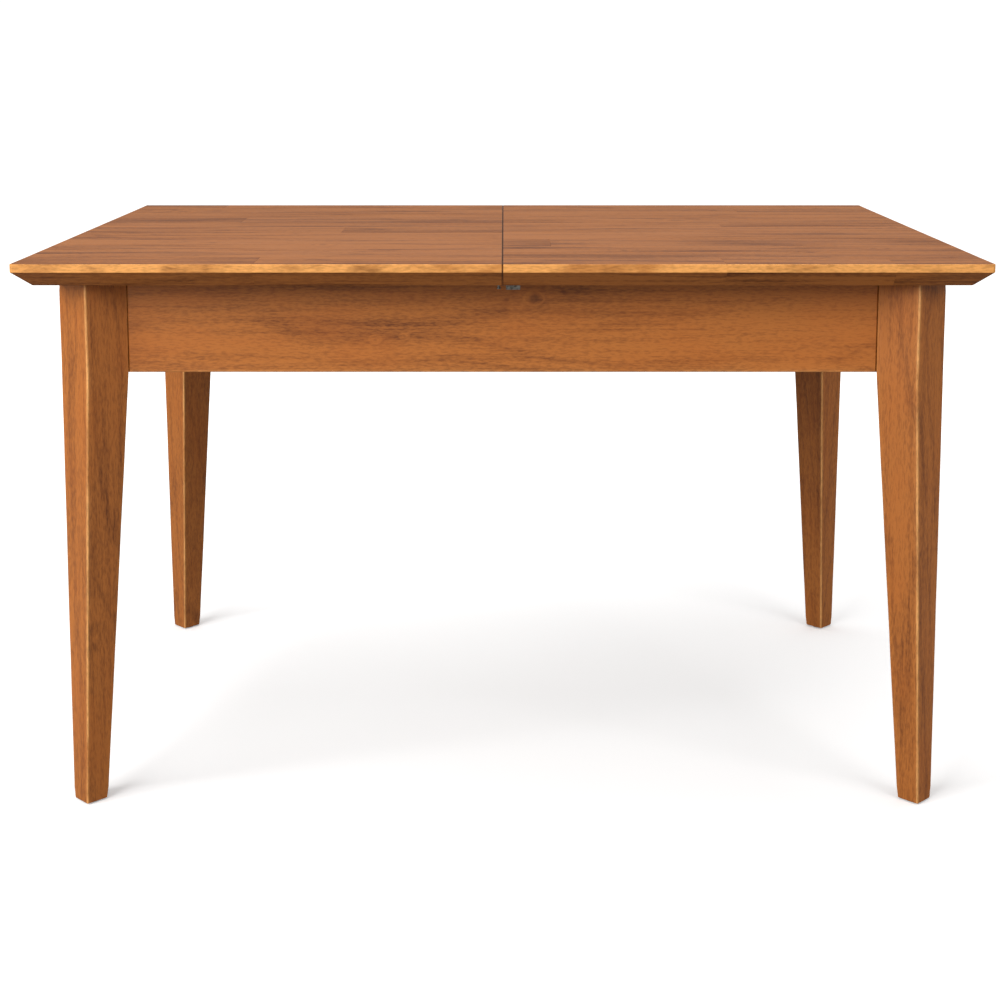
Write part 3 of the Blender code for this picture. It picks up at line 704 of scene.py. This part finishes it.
def apron_piece(name, material, seed):
    """An apron board with mitred ends and softly worn long edges."""
    low, high = (Vector(corner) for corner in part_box(f"apron_{name}"))
    runs_x = name in ("front", "back")
    outward = -1 if name in ("front", "left") else 1
    length = (high.x - low.x) if runs_x else (high.y - low.y)
    half_length = length / 2 - APRON_DEPTH
    outer_face = {"front": low.y, "back": high.y, "left": low.x, "right": high.x}[name]
    z_middle, half_height = (low.z + high.z) / 2, (high.z - low.z) / 2
    rings, wear = [], []
    for step in range(APRON_STEPS + 1):
        t = -1 + 2 * step / APRON_STEPS
        radius = worn_radius(APRON_ARRIS, t * half_length, seed)
        ring, ring_wear = [], []
        for u, v, amount in rounded_section(APRON_DEPTH / 2, half_height, radius):
            depth = APRON_DEPTH / 2 - u
            along = t * (half_length + depth)
            across = outer_face - outward * depth
            ring.append((along, across, z_middle + v) if runs_x else (across, along, z_middle + v))
            ring_wear.append(amount * APRON_WEAR)
        rings.append(ring)
        wear.append(ring_wear)
    piece = give(f"apron_board_{name}", loft(rings, wear), material, "frame")
    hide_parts(f"apron_{name}")


# Screws.

HEAD_SIDES = 24
# From the rim to the recess: radius and height, as shares of the head's radius.
HEAD_PROFILE = ((1.0, -0.35), (1.0, -0.08), (0.93, 0.0), (0.62, 0.05), (0.34, 0.07))
RECESS_ARM = 0.30
RECESS_WAIST = 0.13


def screw_head(name, centre, axis, radius, material, body):
    """A countersunk head with a crossed recess. `axis` points out of the wood."""
    shape = bmesh.new()
    turns = [(math.cos(a), math.sin(a)) for a in (2 * math.pi * n / HEAD_SIDES for n in range(HEAD_SIDES))]
    rows = []
    for r, h in HEAD_PROFILE:
        rows.append([shape.verts.new((radius * r * c, radius * r * s, radius * h)) for c, s in turns])
    recess = []
    for n, (c, s) in enumerate(turns):
        r = RECESS_ARM if n % 6 in (0, 1, 5) else RECESS_WAIST
        recess.append(shape.verts.new((radius * r * c, radius * r * s, radius * 0.06)))
    floor = [shape.verts.new((v.co.x * 0.7, v.co.y * 0.7, -radius * 0.25)) for v in recess]
    bridge(shape, rows + [recess, floor])
    shape.faces.new(list(reversed(rows[0])))
    shape.faces.new(floor)
    bmesh.ops.recalc_face_normals(shape, faces=shape.faces)
    turn = Vector(axis).to_track_quat("Z", "Y").to_matrix().to_4x4()
    bmesh.ops.transform(shape, matrix=Matrix.Translation(centre) @ turn, verts=shape.verts)
    give(name, shape, material, body)


SCREW_RADIUS = 0.0042
GUIDE_SCREW_RADIUS = 0.0040
GUIDE_SCREW_DROP = 0.0070
GUIDE_SCREW_SHARES = [0.06 + 0.176 * number for number in range(6)]
CATCH_SCREW_RADIUS = 0.0020
CATCH_PLATE = 0.0015
CATCH_SCREWS = [
    (-0.0165, -0.3885, "left_half"),
    (-0.0165, -0.3995, "left_half"),
    (0.0255, -0.3885, "right_half"),
    (0.0255, -0.3985, "right_half"),
]


def screws_under(node, body, spots):
    """Screw heads on a node's underside, at (x, y) fractions of its box."""
    low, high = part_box(node)
    for number, (fx, fy) in enumerate(spots):
        x = low[0] + (high[0] - low[0]) * fx
        y = low[1] + (high[1] - low[1]) * fy
        screw_head(f"screw_{node}_{number}", (x, y, low[2]), (0, 0, -1), SCREW_RADIUS, bolt_steel, body)


def half_screws(side):
    """The screws that hold a half's runners and battens."""
    for end in ("front", "back"):
        spots = [(0.12, 0.5), (0.5, 0.5), (0.88, 0.5)]
        screws_under(f"top_runner_{end}_{side}", f"{side}_half", spots)
    for place in ("inner", "outer"):
        spots = [(0.5, 0.06), (0.5, 0.35), (0.5, 0.65), (0.5, 0.94)]
        screws_under(f"top_batten_{place}_{side}", f"{side}_half", spots)


def guide_screws(end, sy):
    """The screws through a guide rail's inner face."""
    low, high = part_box(f"guide_rail_{end}")
    face = high[1] if sy < 0 else low[1]
    for number, share in enumerate(GUIDE_SCREW_SHARES):
        x = low[0] + (high[0] - low[0]) * share
        spot = (x, face, high[2] - GUIDE_SCREW_DROP)
        name = f"screw_guide_{end}_{number}"
        screw_head(name, spot, (0, -sy, 0), GUIDE_SCREW_RADIUS, bolt_steel, "frame")


def catch_screws():
    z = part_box("catch_keeper")[1][2] - CATCH_PLATE
    for number, (x, y, body) in enumerate(CATCH_SCREWS):
        name = f"catch_screw_{number}"
        screw_head(name, (x, y, z), (0, 0, -1), CATCH_SCREW_RADIUS, catch_steel, body)


# The table.

front_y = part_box("apron_front")[0][1]
long_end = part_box("apron_front")[1][0]
cross_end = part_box("apron_left")[1][1]
top_knots = [(x, y, TOP_Z, radius, strength) for x, y, radius, strength in TOP_KNOTS]
apron_knots = [(x, front_y, z, radius, strength) for x, z, radius, strength in APRON_KNOTS]

top_wood = wood("top_wood", "X", TOP_LIGHT, TOP_DARK, knots=top_knots, top=True, satin=0.40, wear=BAND)
leaf_wood = wood("leaf_wood", "X", TOP_LIGHT, TOP_DARK, shift=4.4)
apron_x_wood = wood("apron_wood_long", "X", LIGHT, DARK, apron_knots, ends=long_end, shift=1.3, wear=ARRIS_WEAR_AND_HIGHLIGHT)
apron_y_wood = wood("apron_wood_end", "Y", LIGHT, DARK, ends=cross_end, shift=8.2, wear=ARRIS_WEAR_AND_HIGHLIGHT)
inner_x = wood("inner_wood_long", "X", PALE, PALE_DARK, satin=0.55, shift=2.2)
inner_y = wood("inner_wood_cross", "Y", PALE, PALE_DARK, satin=0.55, shift=6.1)
dowel_wood = wood("dowel_wood", "X", PALE, PALE_DARK, satin=0.5, shift=3.7, ring=0.6)
stop_wood = wood("stop_wood", "Z", PALE, PALE_DARK, satin=0.5, shift=5.7, ring=0.6)
catch_steel = metal("catch_steel", (0.36, 0.345, 0.31), (0.13, 0.12, 0.10), rough=0.36, patina=0.7)
bolt_steel = metal("zinc_steel", (0.62, 0.61, 0.57), (0.40, 0.38, 0.33), rough=0.26, patina=0.5)
hinge_brass = metal("hinge_brass", (0.68, 0.49, 0.20), (0.40, 0.27, 0.10), rough=0.24, patina=0.6)
black_nylon = nylon("black_nylon")


def material_of(node):
    """The finish of a CAD node that stays visible."""
    if node.startswith("leaf_panel"):
        return leaf_wood
    if node.startswith("floor_glide"):
        return black_nylon
    if node.startswith("hanger_bolt"):
        return bolt_steel
    if node.startswith("catch"):
        return catch_steel
    if node.startswith("leaf_hinge"):
        return hinge_brass
    if node.startswith("slide_stop"):
        return stop_wood
    if "dowel" in node:
        return dowel_wood
    if node.startswith(("leaf_bearer", "top_batten")):
        return inner_y
    return inner_x


for node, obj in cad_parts.items():
    obj.data.materials.clear()
    obj.data.materials.append(material_of(node))

rng = random.Random(7)
top_panel("left", -1, top_wood, rng)
top_panel("right", 1, top_wood, rng)
for number, (name, corner) in enumerate(LEGS.items()):
    shift = 2.9 + 3.1 * number
    grain = wood(f"leg_wood_{name}", "Z", LIGHT, DARK, knots=LEG_KNOTS[name], shift=shift, wear=ARRIS_WEAR_AND_HIGHLIGHT)
    leg_piece(name, corner, grain, seed=11.0 + 7 * number)
for number, name in enumerate(("front", "back")):
    apron_piece(name, apron_x_wood, seed=31.0 + number)
for number, name in enumerate(("left", "right")):
    apron_piece(name, apron_y_wood, seed=41.0 + number)
for side in ("left", "right"):
    half_screws(side)
    bearer_spots = [(0.3, 0.02), (0.7, 0.02), (0.3, 0.98), (0.7, 0.98)]
    screws_under(f"leaf_bearer_{side}", "frame", bearer_spots)
catch_screws()
guide_screws("front", -1)
guide_screws("back", 1)


# The floor, the lights and the camera.

FLOOR_SIZE = 14.0
FLOOR_BOUNCE = 0.28
FLOOR_GLOW = 0.20
FAR_GLOW = 0.80
GLOW_FROM = 1.0
GLOW_TO = 3.2
WORLD_LIGHT = 0.42
BACKDROP = 1.05
# Where each light stands, what it faces, its width and height, and its watts.
LIGHTS = {
    "key": ((-3.0, -3.0, 2.4), (0, 0, 0.5), (3.6, 2.8), 215),
    "fill": ((3.0, -3.2, 2.5), (0, 0, 0.5), (2.4, 2.0), 64),
    "over": ((0, 0.5, 3.2), (0, 0, 0.6), (3.0, 2.4), 48),
}

SENSOR = 36.0
FOCAL_OVER_FRAME = 1.752
CAMERA_AT = (0.002, -2.739, 1.047)
CAMERA_PITCH = 0.1339
FRAME_SHIFT = (-0.004, -0.212)
CLIP_END = 100


def floor_material():
    """A pale floor. What bounces off it onto the table is dimmer than what is seen, as off a smaller one."""
    g = Graph("studio_floor")
    place = g.node("ShaderNodeTexCoord", out="Object")
    g.set(
        Base_Color=g.mix(g.noise(place, 1.5, 3.0), (0.95, 0.95, 0.95), (0.97, 0.97, 0.97)),
        Roughness=0.9,
        Specular_IOR_Level=0.0,
        Emission_Color=(1, 1, 1),
        Emission_Strength=g.span(g.length(place), GLOW_FROM, GLOW_TO, FLOOR_GLOW, FAR_GLOW),
    )
    dim = g.node("ShaderNodeBsdfDiffuse", Color=(FLOOR_BOUNCE, FLOOR_BOUNCE, FLOOR_BOUNCE))
    looking = g.tree.nodes.new("ShaderNodeLightPath").outputs["Is Camera Ray"]
    blend = g.node("ShaderNodeMixShader", i0=looking)
    g.tree.links.new(dim, blend.node.inputs[1])
    g.tree.links.new(g.shader.outputs[0], blend.node.inputs[2])
    g.tree.links.new(blend, g.tree.nodes["Material Output"].inputs["Surface"])
    return g.material


def make_floor():
    """A flat, pale floor that fades into the white of the backdrop."""
    shape = bmesh.new()
    bmesh.ops.create_grid(shape, x_segments=2, y_segments=2, size=FLOOR_SIZE)
    mesh = bpy.data.meshes.new("studio_floor")
    shape.to_mesh(mesh)
    shape.free()
    floor = bpy.data.objects.new("studio_floor", mesh)
    bpy.context.scene.collection.objects.link(floor)
    mesh.materials.append(floor_material())


def area_light(name, spot, target, size, watts):
    light = bpy.data.lights.new(name, "AREA")
    light.shape = "RECTANGLE"
    light.size, light.size_y = size
    light.energy = watts
    obj = bpy.data.objects.new(name, light)
    obj.location = spot
    obj.rotation_euler = (Vector(target) - Vector(spot)).to_track_quat("-Z", "Y").to_euler()
    bpy.context.scene.collection.objects.link(obj)


def make_world(strength, seen):
    """White all round: `strength` lights the table, and `seen` is the backdrop behind it."""
    world = bpy.data.worlds.new("studio")
    world.use_nodes = True
    tree = world.node_tree
    background = tree.nodes["Background"]
    background.inputs["Color"].default_value = (1, 1, 1, 1)
    level = tree.nodes.new("ShaderNodeMapRange")
    level.inputs["To Min"].default_value = strength
    level.inputs["To Max"].default_value = seen
    looking = tree.nodes.new("ShaderNodeLightPath").outputs["Is Camera Ray"]
    tree.links.new(looking, level.inputs["Value"])
    tree.links.new(level.outputs[0], background.inputs["Strength"])
    bpy.context.scene.world = world


def make_camera():
    data = bpy.data.cameras.new("camera")
    data.sensor_width = SENSOR
    data.lens = SENSOR * FOCAL_OVER_FRAME
    data.shift_x, data.shift_y = FRAME_SHIFT
    data.clip_end = CLIP_END
    camera = bpy.data.objects.new("camera", data)
    camera.location = CAMERA_AT
    camera.rotation_euler = (math.pi / 2 - CAMERA_PITCH, 0, 0)
    bpy.context.scene.collection.objects.link(camera)
    bpy.context.scene.camera = camera


make_floor()
make_world(WORLD_LIGHT, BACKDROP)
for name, setting in LIGHTS.items():
    area_light(name, *setting)
make_camera()
bpy.context.scene.view_settings.view_transform = "Standard"
